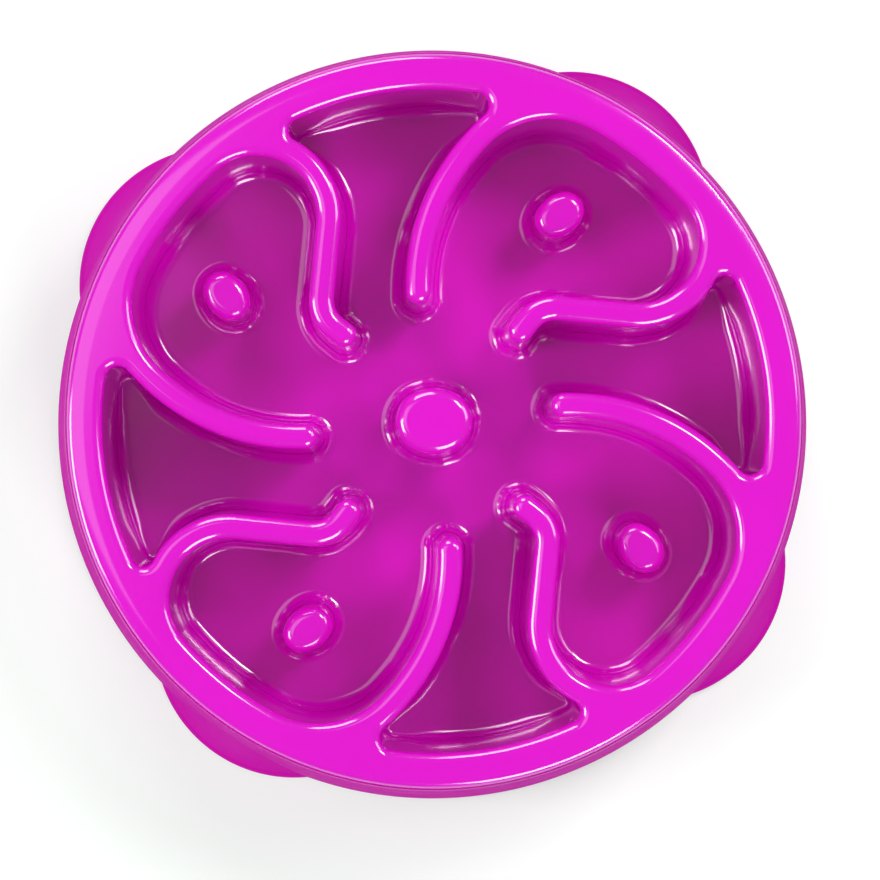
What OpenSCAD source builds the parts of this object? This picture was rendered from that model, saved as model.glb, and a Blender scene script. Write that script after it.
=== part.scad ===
// Slow feeder bowl with a four-fold pinwheel of curved ridges.
// A glossy tray is welded along its lip to a satin base pan, which stands on four rubber pads.
// Millimetres, +Z up, origin at the centre of the footprint on the table.

/* [Overall size] */
// Diameter of the base at the table, which sets every other diameter
base_d = 292; // [286:1:298]
// Height of the top of the rim above the table
rim_h = 70; // [68:1:80]

/* [Rim and pockets] */
// Width of the flat land between the outer edge of the rim and the pockets
land_w = 13; // [12:0.5:15]
// Depth of the pockets below the top of the rim
pocket_depth = 50; // [44:1:54]
// Draft of the pocket walls in degrees
draft = 2; // [1:0.5:3]
// Radius of the rounding along the top edges of the pockets
edge_r = 3; // [2:0.25:3.5]
// Radius of the rounding on the outer edge of the rim
rim_edge_r = 1.5; // [0.75:0.25:2]
// Radius of the fillet round the pocket floor
floor_r = 5; // [3:0.5:6]
// Wall thickness of the tray
tray_wall = 2.4; // [2:0.1:2.6]

/* [Ridges] */
// Width of a ridge across its top
ridge_w = 9; // [8:0.25:10]
// Bend radius of the long sweeping ridge, to its centreline
sweep_r = 78.6; // [77:0.2:80]
// Distance of that bend's centre inside the pocket wall
sweep_inset = 34.5; // [33:0.5:36]
// Direction of that bend's centre in degrees
sweep_dir = -55.3; // [-57:0.1:-53]
// Direction of the free end of the sweeping ridge, seen from its bend's centre
sweep_tip_dir = 91.8; // [86:0.1:95]
// Bend radius of the hooked ridge where it leaves the rim, to its centreline
root_r = 27; // [25:0.5:28]
// Direction of that bend's centre in degrees
root_dir = 41.1; // [40:0.1:42]
// Bend radius of the hook near the free end, to its centreline
hook_r = 13.1; // [12:0.1:14]
// Distance of the hook's centre inside the pocket wall
hook_inset = 69.7; // [68:0.1:71]
// Direction of the hook's centre in degrees
hook_dir = 32.7; // [31:0.1:34]
// Turn of the hook in degrees
hook_turn = 58; // [50:1:64]
// Straight length past the hook
tip_run = 4; // [2:0.5:6]

/* [Pocket corners] */
// Corner radius of a lobe beside the sweeping ridge
lobe_corner_r = 32.8; // [30:0.2:34]
// Corner radius of a channel beside the sweeping ridge
sharp_corner_r = 5; // [4:0.25:5.5]
// Corner radius of a channel beside the hooked ridge
blunt_corner_r = 4.4; // [4:0.2:5]

/* [Bosses] */
// Length of a small oval boss across its top
boss_l = 19.5; // [17:0.5:21]
// Width of a small oval boss across its top
boss_w = 15.5; // [13.5:0.5:16.5]
// Height of a small boss above the pocket floor
boss_h = 28; // [20:1:38]
// Distance of the middle of a small boss inside the pocket wall
boss_inset = 31.5; // [30:0.5:35]
// Direction of a small boss in degrees
boss_dir = 58.7; // [56:0.1:61]
// Direction of the long axis of a small boss in degrees
boss_turn = 38.7; // [30:0.1:50]
// Length of the middle boss across its top
hub_l = 28; // [24:0.5:30]
// Width of the middle boss across its top
hub_w = 24.5; // [21:0.5:26]
// Height of the middle boss above the pocket floor
hub_h = 45; // [30:1:46]
// Radius of the rounding along the top edges of the bosses
boss_edge_r = 4.5; // [3:0.5:5]

/* [Lip and seam] */
// Height of the lip that turns down round the rim
lip_h = 6; // [5:0.5:9]
// Thickness of the tongue inside the lip
tongue_t = 2.2; // [1.8:0.1:2.4]
// Length of the tongue below the seam
tongue_h = 5; // [4:0.5:7]
// Clearance between the tongue and the wall of the base
seam_fit = 0.2; // [0.1:0.05:0.3]
// Step by which the base stands out from the lip at the seam
ledge = 1; // [0.5:0.1:1.5]
// Radius of the rounding on the step
ledge_r = 0.6; // [0.2:0.1:0.8]

/* [Base pan] */
// Width by which the wall of the base flares out from the seam down to the table
wall_flare = 9; // [7:0.5:12]
// Wall thickness of the base
base_wall = 2.5; // [2.2:0.1:3]
// Radius of the rounding on the bottom edge of the base
base_edge_r = 2; // [1:0.25:3]
// Radius of the round outline of a foot
foot_r = 54.3; // [53:0.1:56]
// Distance of a foot's centre inside the bottom edge of the base
foot_inset = 46.7; // [45:0.1:48]
// Direction of a foot in degrees
foot_dir = 57.1; // [55:0.1:59]
// Thickness of a foot at its rounded outer edge
foot_edge = 3; // [2.6:0.1:3.6]
// Depth by which the feet stand below the bottom of the pan
foot_drop = 1; // [0.5:0.1:1.4]
// Height at which the hollow flare of a foot has run into the wall
flare_h = 32; // [26:1:38]
// Depth by which the flare dips into the wall at that height
flare_sink = 0.2; // [0.1:0.05:0.4]

/* [Rubber pads] */
// Diameter of a pad
pad_d = 26; // [20:1:28]
// Thickness of a pad
pad_t = 3; // [2.5:0.1:3.2]
// Height by which a pad stands proud of the base
pad_proud = 1.5; // [1:0.1:2]
// Distance of a pad's centre outside the centre of its foot
pad_shift = 28.7; // [25:0.1:32]
// Radius of the rounding on the lower edge of a pad
pad_edge_r = 0.6; // [0.3:0.1:0.8]
// Clearance round a pad in its seat
pad_fit = 0.15; // [0.1:0.05:0.3]

/* [Hidden] */
$fn = 96;
// Depth by which a fillet dips into the floor that it runs out on
blend = 0.05;
// Step between two surfaces that run on into each other
step = 0.05;
// Length by which one piece of a ridge starts inside the next
lap = 0.5;
// Shift that lets a rounding cross the wall beside it instead of only touching it
nudge = 0.01;
// Overrun of the cuts
over = 1;
// The pattern repeats four times round the bowl
turns = 4;
turn = 360 / turns;
// Points along each side of the filling behind a pocket corner
web_steps = 4;
// Share of the room inside a bend or a pocket corner that its floor fillet may take
fill_share = 0.8;

// The diameters follow one another inwards from the table edge of the base
base_r = base_d / 2;
base_top_r = base_r - wall_flare;
rim_r = base_top_r - ledge;
pocket_r = rim_r - land_w;
half_w = ridge_w / 2;
floor_z = rim_h - pocket_depth;
under_z = floor_z - tray_wall;
roof_z = rim_h - tray_wall;
seam_z = rim_h - lip_h;

// The back of the pocket wall runs one wall thickness behind it, with a bevel at its foot
back_r = pocket_r + tray_wall / cos(draft) - tray_wall * tan(draft);
bevel = (floor_r + tray_wall) * (1 - tan(45 / 2));

// Centres of the bends for the quarter of the pattern that starts along +X
sweep_c = (pocket_r - sweep_inset) * [cos(sweep_dir), sin(sweep_dir)];
hook_c = (pocket_r - hook_inset) * [cos(hook_dir), sin(hook_dir)];
root_c = (pocket_r - root_r + half_w - step) * [cos(root_dir), sin(root_dir)];

// The straight stretch of the hooked ridge is the crossing tangent of its two bends
link = root_c - hook_c;
link_dir = dir_of(link) - asin((root_r + hook_r) / norm(link));
link_l = sqrt(norm(link) ^ 2 - (root_r + hook_r) ^ 2);

// Each pocket corner runs out on the round wall and on one side of a ridge
lobe_corner_c = meet(
    pocket_r - lobe_corner_r - step, sweep_c, sweep_r - half_w - lobe_corner_r - step, 1);
sharp_corner_c = meet(
    pocket_r - sharp_corner_r - step, sweep_c, sweep_r + half_w + sharp_corner_r + step, 1);
blunt_corner_c = meet(
    pocket_r - blunt_corner_r - step, root_c, root_r + half_w + blunt_corner_r + step, -1);

// The filling behind a corner stops on the flat tops, midway between rounding and centreline
web_in = (edge_r + half_w) / 2;
corner_depth = ridge_w - edge_r;
lobe_web = meet(pocket_r + web_in, sweep_c, sweep_r - half_w + web_in, 1);
sharp_web = meet(pocket_r + web_in, sweep_c, sweep_r + half_w - web_in, 1);
blunt_web = meet(pocket_r + web_in, root_c, root_r + half_w - web_in, -1);

// The sweeping ridge ends under the land of the rim
sweep_end_dir = dir_of(meet(pocket_r + edge_r, sweep_c, sweep_r - half_w, 1) - sweep_c);

// Wall of the base: it flares outwards all the way down from the seam
pan_z = pad_proud + foot_drop;
base_lean = atan(wall_flare / (seam_z - pan_z));
tongue_r = base_top_r - base_wall - seam_fit;
tongue_in_r = tongue_r - tongue_t;

// The feet keep their place at the edge of the base, and the pads keep theirs below the feet
foot_reach = base_r - foot_inset;
pad_reach = foot_reach + pad_shift;

// Flare of a foot: an arc from its rounded edge up to a touch on the wall
flare_from = [foot_r - foot_edge / 2, pad_proud + foot_edge];
flare_to = [base_at(flare_h) - foot_reach - flare_sink, flare_h];
flare_r = norm(flare_from - flare_to) ^ 2 / (2 * heading(base_lean) * (flare_from - flare_to));
flare_c = flare_to + flare_r * heading(base_lean);

pad_r = pad_d / 2;

function heading(a) = [cos(a), sin(a)];

function dir_of(v) = atan2(v[1], v[0]);

// Crossing of the circle of radius r1 about the middle with the circle of radius r2 about c
function meet(r1, c, r2, side) =
    let (
        d = norm(c),
        along = (d ^ 2 + r1 ^ 2 - r2 ^ 2) / (2 * d),
        off = side * sqrt(r1 ^ 2 - along ^ 2)
    )
    [along * c[0] - off * c[1], along * c[1] + off * c[0]] / d;

// Points along an arc, with or without its two ends
function arc(c, r, from, to, ends = true) =
    let (first = ends ? 0 : 1)
    [for (i = [first : web_steps - first]) c + r * heading(from + (to - from) * i / web_steps)];

// Radius of the outer face of the base at height z
function base_at(z) = base_r - (z - pan_z) * tan(base_lean);

// Radius of the floor fillet inside a bend whose wall has the radius r at the top
function fill_within(r) = min(floor_r, fill_share * (r - pocket_depth * tan(draft)));

// Drafted bank in section, with its material between x = from and x = to, and a fillet at its foot.
// Its face, drawn on up to the top, would end at x = to.
module bank(from, to, top, floor, edge, fill, sink) {
    face = heading(draft);
    edge_c = [to + edge * tan(draft) - (edge - nudge) / cos(draft), top - edge];
    fill_z = floor + fill - blend;
    fill_c = [to + (top - fill_z) * tan(draft) + (fill - nudge) / cos(draft), fill_z];
    difference() {
        union() {
            polygon([
                [from, floor - sink],
                [fill_c[0], floor - sink],
                fill_c,
                fill_c - (fill - nudge) * face,
                edge_c + (edge - nudge) * face,
                [edge_c[0], top],
                [from, top],
            ]);
            intersection() {
                translate(edge_c) circle(edge);
                translate(edge_c) square(2 * edge);
            }
        }
        translate(fill_c) circle(fill);
    }
}

// Half of a wall in section, from its middle to its foot
module half_wall(half, top, edge, fill = floor_r) {
    bank(0, half, top, floor_z, edge, fill, tray_wall / 2);
}

module wall_section(half, top, edge, fill = floor_r) {
    half_wall(half, top, edge, fill);
    mirror([1, 0]) half_wall(half, top, edge, fill);
}

// Wall in a bend about the origin, from the X axis on
module wall_bend(r, angle, half, top) {
    rotate_extrude(angle = angle) translate([r, 0])
        wall_section(half, top, edge_r, fill_within(r - half));
}

// Straight wall from the origin towards -Y
module wall_run(length, half, top, edge = edge_r) {
    rotate([90, 0, 0]) linear_extrude(length) wall_section(half, top, edge);
}

// Round end of a wall, on its +Y side
module wall_end(half, top, edge = edge_r) {
    rotate_extrude(angle = 180) half_wall(half, top, edge);
}

// Long ridge in one sweeping bend
module sweeping_ridge() {
    translate(sweep_c) rotate(sweep_tip_dir) {
        mirror([0, 1, 0]) wall_bend(sweep_r, sweep_tip_dir - sweep_end_dir, half_w, rim_h);
        translate([sweep_r, 0, 0]) wall_end(half_w, rim_h);
    }
}

// Ridge in two opposite bends, with a short straight tip past the hook.
// The tip is slimmer than the hook by one step all round.
module hooked_ridge() {
    translate(root_c) rotate(link_dir - 90) {
        wall_bend(root_r, root_dir + 90 - link_dir, half_w, rim_h);
        translate([root_r, 0, 0]) wall_run(link_l, half_w, rim_h);
        translate([root_r + hook_r, -link_l, 0]) rotate(180) {
            wall_bend(hook_r, hook_turn, half_w, rim_h);
            rotate(hook_turn) translate([hook_r, tip_run, 0]) {
                wall_run(tip_run + lap, half_w - step, rim_h - step);
                wall_end(half_w - step, rim_h - step);
            }
        }
    }
}

// Rounded pocket corner about c, which runs from the direction "from" to "to"
module corner(c, r, from, to) {
    translate(c) rotate(from) rotate_extrude(angle = to - from)
        mirror([1, 0])
            bank(-r - corner_depth, -r, rim_h, floor_z, edge_r, fill_within(r), tray_wall / 2);
}

// Filling behind a corner, up to the tip where the ridge joins the land of the rim
module corner_web(c, r, bend_c, ridge_dir, tip) {
    translate([0, 0, floor_z - tray_wall / 2])
        linear_extrude(pocket_depth + tray_wall / 2)
            polygon(concat(
                arc(c, r + web_in, dir_of(c), ridge_dir, false),
                arc(bend_c, norm(tip - bend_c), dir_of(c - bend_c), dir_of(tip - bend_c)),
                arc([0, 0], pocket_r + web_in, dir_of(tip), dir_of(c))
            ));
}

module pocket_corners() {
    lobe_dir = dir_of(lobe_corner_c - sweep_c);
    corner(lobe_corner_c, lobe_corner_r, dir_of(lobe_corner_c), lobe_dir);
    corner_web(lobe_corner_c, lobe_corner_r, sweep_c, lobe_dir, lobe_web);

    sharp_dir = dir_of(sweep_c - sharp_corner_c);
    corner(sharp_corner_c, sharp_corner_r, sharp_dir, dir_of(sharp_corner_c));
    corner_web(sharp_corner_c, sharp_corner_r, sweep_c, sharp_dir, sharp_web);

    blunt_dir = dir_of(root_c - blunt_corner_c);
    corner(blunt_corner_c, blunt_corner_r, dir_of(blunt_corner_c), blunt_dir);
    corner_web(blunt_corner_c, blunt_corner_r, root_c, blunt_dir, blunt_web);
}

// Oval boss with its long axis along X
module boss(length, width, height) {
    run = length - width;
    top = floor_z + height;
    rotate(90) {
        translate([0, run / 2, 0]) wall_run(run, width / 2, top, boss_edge_r);
        for (end = [0, 180])
            rotate(end) translate([0, run / 2, 0]) wall_end(width / 2, top, boss_edge_r);
    }
}

module small_boss() {
    rotate(boss_dir) translate([pocket_r - boss_inset, 0, 0]) rotate(boss_turn - boss_dir)
        boss(boss_l, boss_w, boss_h);
}

// Round dish in section, with the flat land of the rim, the lip that turns down round it
// and the tongue that drops into the base
module dish_section() {
    land_from = pocket_r + edge_r;
    translate([0, under_z]) square([pocket_r, tray_wall]);
    mirror([1, 0])
        bank(-pocket_r - 2 * edge_r, -pocket_r, rim_h, floor_z, edge_r, floor_r, tray_wall / 2);
    translate([land_from, roof_z]) square([rim_r - rim_edge_r - land_from, tray_wall]);
    polygon([
        [rim_r - tray_wall, rim_h - rim_edge_r],
        [rim_r, rim_h - rim_edge_r],
        [rim_r, seam_z],
        [tongue_r, seam_z],
        [tongue_r, seam_z - tongue_h],
        [tongue_in_r, seam_z - tongue_h],
        [tongue_in_r, seam_z],
        [rim_r - tray_wall, seam_z + tongue_t],
    ]);
    intersection() {
        translate([rim_r - rim_edge_r, rim_h - rim_edge_r]) circle(rim_edge_r);
        translate([rim_r - rim_edge_r, rim_h - rim_edge_r]) square(2 * rim_edge_r);
    }
}

// Hollow under the land in section, which also trims the feet of the ridges outside the wall
module land_hollow_section() {
    bevel_z = under_z + bevel;
    bevel_r = back_r - (roof_z - bevel_z) * tan(draft);
    polygon([
        [back_r, roof_z],
        [bevel_r, bevel_z],
        [bevel_r - bevel, under_z],
        [bevel_r - bevel, under_z - over],
        [base_r, under_z - over],
        [base_r, seam_z - tongue_h],
        [tongue_in_r, seam_z - tongue_h],
        [tongue_in_r, seam_z],
        [rim_r - tray_wall, seam_z + tongue_t],
        [rim_r - tray_wall, roof_z],
    ]);
}

module feeding_tray() color([0.93, 0.16, 0.86]) {
    difference() {
        union() {
            rotate_extrude() dish_section();
            for (i = [0 : turns - 1]) rotate(turn * i) {
                sweeping_ridge();
                hooked_ridge();
                pocket_corners();
                small_boss();
            }
            boss(hub_l, hub_w, hub_h);
        }
        rotate_extrude() land_hollow_section();
    }
}

// Body of the base in section, still solid
module pan_section() {
    face = heading(base_lean);
    foot_c = [
        base_at(pan_z + base_edge_r) - base_edge_r / cos(base_lean),
        pan_z + base_edge_r,
    ];
    step_c = [base_at(seam_z - ledge_r) - ledge_r / cos(base_lean), seam_z - ledge_r];
    polygon([
        [0, pan_z],
        [foot_c[0], pan_z],
        foot_c + base_edge_r * face,
        step_c + ledge_r * face,
        [step_c[0], seam_z],
        [0, seam_z],
    ]);
    translate(foot_c) circle(base_edge_r);
    translate(step_c) circle(ledge_r);
}

module pan_hollow_section() {
    polygon([
        [0, pan_z + base_wall],
        [base_at(pan_z + base_wall) - base_wall, pan_z + base_wall],
        [base_at(seam_z + over) - base_wall, seam_z + over],
        [0, seam_z + over],
    ]);
}

// Flared foot in section, or the hollow inside it
module foot_section(core) {
    edge = foot_edge / 2;
    bottom = pad_proud + (core ? base_wall : 0);
    difference() {
        translate([0, bottom]) square([foot_r - edge, flare_h - bottom]);
        translate(flare_c) circle(flare_r + (core ? base_wall : 0));
    }
    if (!core) {
        translate([0, pad_proud]) square([foot_r - edge, foot_edge]);
        translate([foot_r - edge, pad_proud + edge]) circle(edge);
    }
}

module feet(core) {
    for (i = [0 : turns - 1])
        rotate(foot_dir + turn * i) translate([foot_reach, 0, 0])
            rotate_extrude() foot_section(core);
}

// Seat of a pad: the outline of the pad, widened all round
module pad_seats(widen, from, to) {
    for (i = [0 : turns - 1])
        rotate(foot_dir + turn * i) translate([pad_reach, 0, from])
            cylinder(r = pad_r + pad_fit + widen, h = to - from);
}

module base_pan() color([0.72, 0.16, 0.62]) {
    difference() {
        union() {
            difference() {
                union() {
                    rotate_extrude() pan_section();
                    feet(false);
                }
                rotate_extrude() pan_hollow_section();
                feet(true);
            }
            pad_seats(base_wall, pad_proud + base_wall / 2, pad_t + base_wall);
        }
        pad_seats(0, pad_proud - over, pad_t);
    }
}

module foot_pad(i) color([0.2, 0.2, 0.21]) {
    rotate(foot_dir + turn * i) translate([pad_reach, 0, 0]) rotate_extrude() {
        polygon([
            [0, 0],
            [pad_r - pad_edge_r, 0],
            [pad_r, pad_edge_r],
            [pad_r, pad_t],
            [0, pad_t],
        ]);
        translate([pad_r - pad_edge_r, pad_edge_r]) circle(pad_edge_r);
    }
}

feeding_tray();
base_pan();
foot_pad(0);  // foot_pad_back_right
foot_pad(1);  // foot_pad_back_left
foot_pad(2);  // foot_pad_front_left
foot_pad(3);  // foot_pad_front_right
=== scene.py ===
# %% [markdown]
# A slow feeder bowl, seen from straight above. A glossy magenta tray with a pinwheel of curved
# ridges sits in a satin base that flares out into four feet, each with a rubber pad below.
# The CAD model is loaded first and fixes every size and place. What the boxes of its nodes show
# is read from them, and the other sizes are named here where they are first needed.
# The pieces are drawn again with finer surfaces, because gloss shows each facet of a plain CAD
# mesh. Blender counts in metres, so a size in millimetres is written as a number times MM.

# %% Load the CAD frame
import math

import bmesh
import bpy
import numpy as np
from mathutils import Matrix, Vector


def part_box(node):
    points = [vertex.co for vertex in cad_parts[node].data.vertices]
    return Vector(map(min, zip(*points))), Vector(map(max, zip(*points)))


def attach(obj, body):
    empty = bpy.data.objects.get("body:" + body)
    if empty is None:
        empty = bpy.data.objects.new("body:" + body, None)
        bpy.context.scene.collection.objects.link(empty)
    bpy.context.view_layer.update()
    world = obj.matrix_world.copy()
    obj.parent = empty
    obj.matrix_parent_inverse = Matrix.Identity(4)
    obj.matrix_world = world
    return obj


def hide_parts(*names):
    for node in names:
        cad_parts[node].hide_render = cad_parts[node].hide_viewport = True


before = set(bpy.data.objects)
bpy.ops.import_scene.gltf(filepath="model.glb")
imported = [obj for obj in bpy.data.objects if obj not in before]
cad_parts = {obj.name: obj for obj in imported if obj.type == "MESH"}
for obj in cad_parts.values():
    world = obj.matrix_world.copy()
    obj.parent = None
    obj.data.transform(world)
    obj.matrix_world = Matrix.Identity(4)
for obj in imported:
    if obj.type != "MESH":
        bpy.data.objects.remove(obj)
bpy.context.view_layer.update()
scene = bpy.context.scene
MM = 0.001


def tenth(length):
    """A length to a tenth of a millimetre."""
    return round(float(length) / MM, 1) * MM


RIM_H = tenth(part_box("feeding_tray")[1].z)
SEAM_Z = tenth(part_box("base_pan")[1].z)
print("CAD nodes:", sorted(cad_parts))
print("rim at", round(RIM_H / MM, 1), "mm, seam at", round(SEAM_Z / MM, 1), "mm")

# %% [markdown]
# The camera looks down from 1.2 m above the rim, with the top of the picture towards +Y. It
# stands 13 mm left of the middle of the bowl and 24 mm nearer the viewer, which shows more of
# the front left foot than of the back right one. A long lens keeps the ridges nearly parallel,
# as in the photograph.

# %% Camera
CAMERA_RISE = 1200 * MM
CAMERA_SHIFT, AIM_SHIFT = (-13 * MM, -24 * MM), (2.0 * MM, -7.2 * MM)
VIEW_W = 325 * MM
SENSOR_W = 36  # Blender counts sensors and lenses in millimetres

camera_at = Vector((*CAMERA_SHIFT, RIM_H + CAMERA_RISE))
camera_aim = Vector((*AIM_SHIFT, RIM_H))
camera_data = bpy.data.cameras.new("camera")
camera_data.sensor_width = SENSOR_W
camera_data.lens = SENSOR_W * (camera_at - camera_aim).length / VIEW_W
camera = bpy.data.objects.new("camera", camera_data)
camera_back = (camera_at - camera_aim).normalized()
camera_right = Vector((0, 1, 0)).cross(camera_back).normalized()
camera_up = camera_back.cross(camera_right)
turn = Matrix((camera_right, camera_up, camera_back)).transposed()
camera.matrix_world = Matrix.Translation(camera_at) @ turn.to_4x4()
scene.collection.objects.link(camera)
scene.camera = camera
print("lens", round(camera_data.lens, 1), "mm")

# %% [markdown]
# Four soft lamps stand round the bowl, each small enough to draw a crisp line along the rounded
# edges. None hangs straight above, because the flat rim and the pocket floor would mirror it
# into the camera. A small key lamp at the back right gives the short shadow at the left and
# below, and a dim panel at the left shows as a pale gleam on that side of the rim.

# %% Lamps
AIM_H = 30 * MM
KEY_DIR, KEY_REACH, KEY_H, KEY_SIZE, KEY_WATTS = 45, 1.0, 1.15, 0.36, 5.5
SOFT_LAMPS = {"right": (20, 6), "back": (105, 8), "left": (190, 12), "front": (-70, 11)}
SOFT_REACH, SOFT_H, SOFT_SIZE = 1.35, 0.85, 0.7
PANEL_AT, PANEL_SIZE, PANEL_WATTS = (-0.7, 0.22, 1.4), (0.75, 1.0), 1.9


def area_lamp(name, at, size, watts):
    """A rectangular lamp that faces the middle of the bowl."""
    data = bpy.data.lights.new(name, "AREA")
    data.shape = "RECTANGLE"
    data.size, data.size_y = size
    data.energy = watts
    lamp = bpy.data.objects.new(name, data)
    lamp.location = at
    to_bowl = Vector((0, 0, AIM_H)) - Vector(at)
    lamp.rotation_euler = to_bowl.to_track_quat("-Z", "Y").to_euler()
    scene.collection.objects.link(lamp)


def lamp_round(name, direction, reach, height, size, watts):
    """A square lamp that stands at a direction round the bowl, in degrees."""
    a = math.radians(direction)
    area_lamp(name, (reach * math.cos(a), reach * math.sin(a), height), (size, size), watts)


lamp_round("key_lamp", KEY_DIR, KEY_REACH, KEY_H, KEY_SIZE, KEY_WATTS)
area_lamp("left_panel", PANEL_AT, PANEL_SIZE, PANEL_WATTS)
for name, (direction, watts) in SOFT_LAMPS.items():
    lamp_round(name + "_soft_lamp", direction, SOFT_REACH, SOFT_H, SOFT_SIZE, watts)

# %% [markdown]
# The bowl stands on a plain pale floor in a plain white world. Both show the camera something
# else than they give as light. The world gives a faint fill, but is white to look at, so that
# low views have a plain background. The floor keeps the shadow, and a painted glow of its own,
# shown to the camera only, lifts it to white. That painted light has some green in it near the
# bowl, against the pink that the bowl throws on the floor, and grows with the distance from the
# shadow. So it is weakest at the lower left, where it paints the shadow deeper than the lamps
# make it. Worlds, materials and shapes are all made of nodes, so small helpers come first.

# %% Helpers that put nodes
WHITE = (1, 1, 1, 1)


def put(tree, kind, inputs=None, **settings):
    """A node with its settings made and its inputs set or linked."""
    node = tree.nodes.new(kind)
    for key, value in settings.items():
        setattr(node, key, value)
    for key, value in (inputs or {}).items():
        socket = node.inputs[key]
        if isinstance(value, bpy.types.NodeSocket):
            tree.links.new(value, socket)
        else:
            socket.default_value = value
    return node


def ramp(tree, value, low, high, to_low=0.0, to_high=1.0):
    """Takes low..high to to_low..to_high, and holds it at both ends."""
    return put(tree, "ShaderNodeMapRange",
               {0: value, 1: low, 2: high, 3: to_low, 4: to_high}).outputs[0]


def mixed(tree, share, first, second):
    """A colour between two colours."""
    return put(tree, "ShaderNodeMix", {0: share, 6: first, 7: second}, data_type="RGBA").outputs[2]


def camera_sees(tree, lights, seen):
    """One shader for the light that is given, and another for what the camera sees itself."""
    to_camera = put(tree, "ShaderNodeLightPath").outputs["Is Camera Ray"]
    return put(tree, "ShaderNodeMixShader", {0: to_camera, 1: lights, 2: seen}).outputs[0]


def new_material(name):
    """A material with its tree and its main shader."""
    material = bpy.data.materials.new(name)
    material.use_nodes = True
    tree = material.node_tree
    return material, tree, tree.nodes["Principled BSDF"]


# %% World
WORLD_FILL = 0.1
world = bpy.data.worlds.new("studio")
world.use_nodes = True
tree = world.node_tree
fill = tree.nodes["Background"]
fill.inputs["Color"].default_value = WHITE
fill.inputs["Strength"].default_value = WORLD_FILL
seen = put(tree, "ShaderNodeBackground", {"Color": WHITE}).outputs[0]
surface = camera_sees(tree, fill.outputs[0], seen)
tree.links.new(surface, tree.nodes["World Output"].inputs["Surface"])
scene.world = world
scene.view_settings.view_transform = "Standard"
print("the world gives", WORLD_FILL, "of the white that it shows")

# %% Floor
FLOOR_HALF = 3
FLOOR_GREY, FLOOR_ROUGHNESS = (0.7, 0.7, 0.7, 1), 0.7
GLOW_NEAR = (0.3, 0.37, 0.32, 1)
SHADOW_AT, GLOW_FROM, GLOW_TO = (-80 * MM, -80 * MM, 0), 150 * MM, 600 * MM

corners = [(x * FLOOR_HALF, y * FLOOR_HALF, 0) for x, y in ((-1, -1), (1, -1), (1, 1), (-1, 1))]
floor_mesh = bpy.data.meshes.new("floor")
floor_mesh.from_pydata(corners, [], [(0, 1, 2, 3)])
floor = bpy.data.objects.new("floor", floor_mesh)
scene.collection.objects.link(floor)

floor_paint_and_glow, tree, paint = new_material("floor_paint_and_glow")
paint.inputs["Base Color"].default_value = FLOOR_GREY
paint.inputs["Roughness"].default_value = FLOOR_ROUGHNESS
# Painted light: a camera-only glow, dim and greenish near SHADOW_AT and white further out, which
# paints the shadow at the lower left deeper and the rest of the floor white.
at = put(tree, "ShaderNodeTexCoord").outputs["Object"]
away = put(tree, "ShaderNodeVectorMath", {0: at, 1: SHADOW_AT}, operation="DISTANCE")
away = away.outputs["Value"]
painted_glow_colour = mixed(tree, ramp(tree, away, GLOW_FROM, GLOW_TO), GLOW_NEAR, WHITE)
glow = put(tree, "ShaderNodeEmission", {"Color": painted_glow_colour}).outputs[0]
both = put(tree, "ShaderNodeAddShader", {0: paint.outputs[0], 1: glow}).outputs[0]
surface = camera_sees(tree, paint.outputs[0], both)
tree.links.new(surface, tree.nodes["Material Output"].inputs["Surface"])
floor_mesh.materials.append(floor_paint_and_glow)
print("the floor is", 2 * FLOOR_HALF, "m wide")

# %% [markdown]
# The tray is one moulding, and one line rules its shape: the top outline of the pockets. It runs
# along the round wall, in along one flank of each ridge, round the ridge's free end and back
# along the other flank. Every stretch is an arc or a straight that starts in the direction in
# which the last one ended. So a quarter of it is written as a list of arcs, each with its
# centre, radius and the directions where it starts and ends, and then turned four times.
# The centres of the corners are crossings of circles, so that each corner meets both the wall
# and the ridge without a kink.

# %% Sizes of the pockets and ridges
TURNS = 4
POCKET_R, FLOOR_Z, DRAFT = 123 * MM, 20 * MM, math.radians(2)
HALF_W = 4.5 * MM
EDGE_R, BOSS_EDGE_R, FLOOR_R = 3.5 * MM, 4.2 * MM, 5 * MM
SWEEP_R, SWEEP_REACH, SWEEP_DIR, SWEEP_TIP = 78.6 * MM, 88.5 * MM, -55.3, 91.8
HOOK_R, HOOK_REACH, HOOK_DIR, HOOK_TURN = 13.1 * MM, 53.3 * MM, 32.7, 58
ROOT_R, ROOT_DIR, TIP_RUN = 27 * MM, 41.1, 4 * MM
LOBE_R, SHARP_R, BLUNT_R = 32.8 * MM, 5 * MM, 4.4 * MM
print("pockets", round((RIM_H - FLOOR_Z) / MM, 1), "mm deep, ridges", 2 * HALF_W / MM, "mm wide")


# %% The arcs of one quarter
def heading(degrees):
    """The unit vector of a direction."""
    a = math.radians(degrees)
    return np.array((math.cos(a), math.sin(a)))


def dir_of(v):
    """The direction of a vector, in degrees."""
    return math.degrees(math.atan2(v[1], v[0]))


def meet(r1, c, r2, side):
    """Crossing of the circle of radius r1 about the middle with that of radius r2 about c."""
    d = np.linalg.norm(c)
    along = (d**2 + r1**2 - r2**2) / (2 * d)
    off = side * math.sqrt(r1**2 - along**2)
    return np.array((along * c[0] - off * c[1], along * c[1] + off * c[0])) / d


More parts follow.
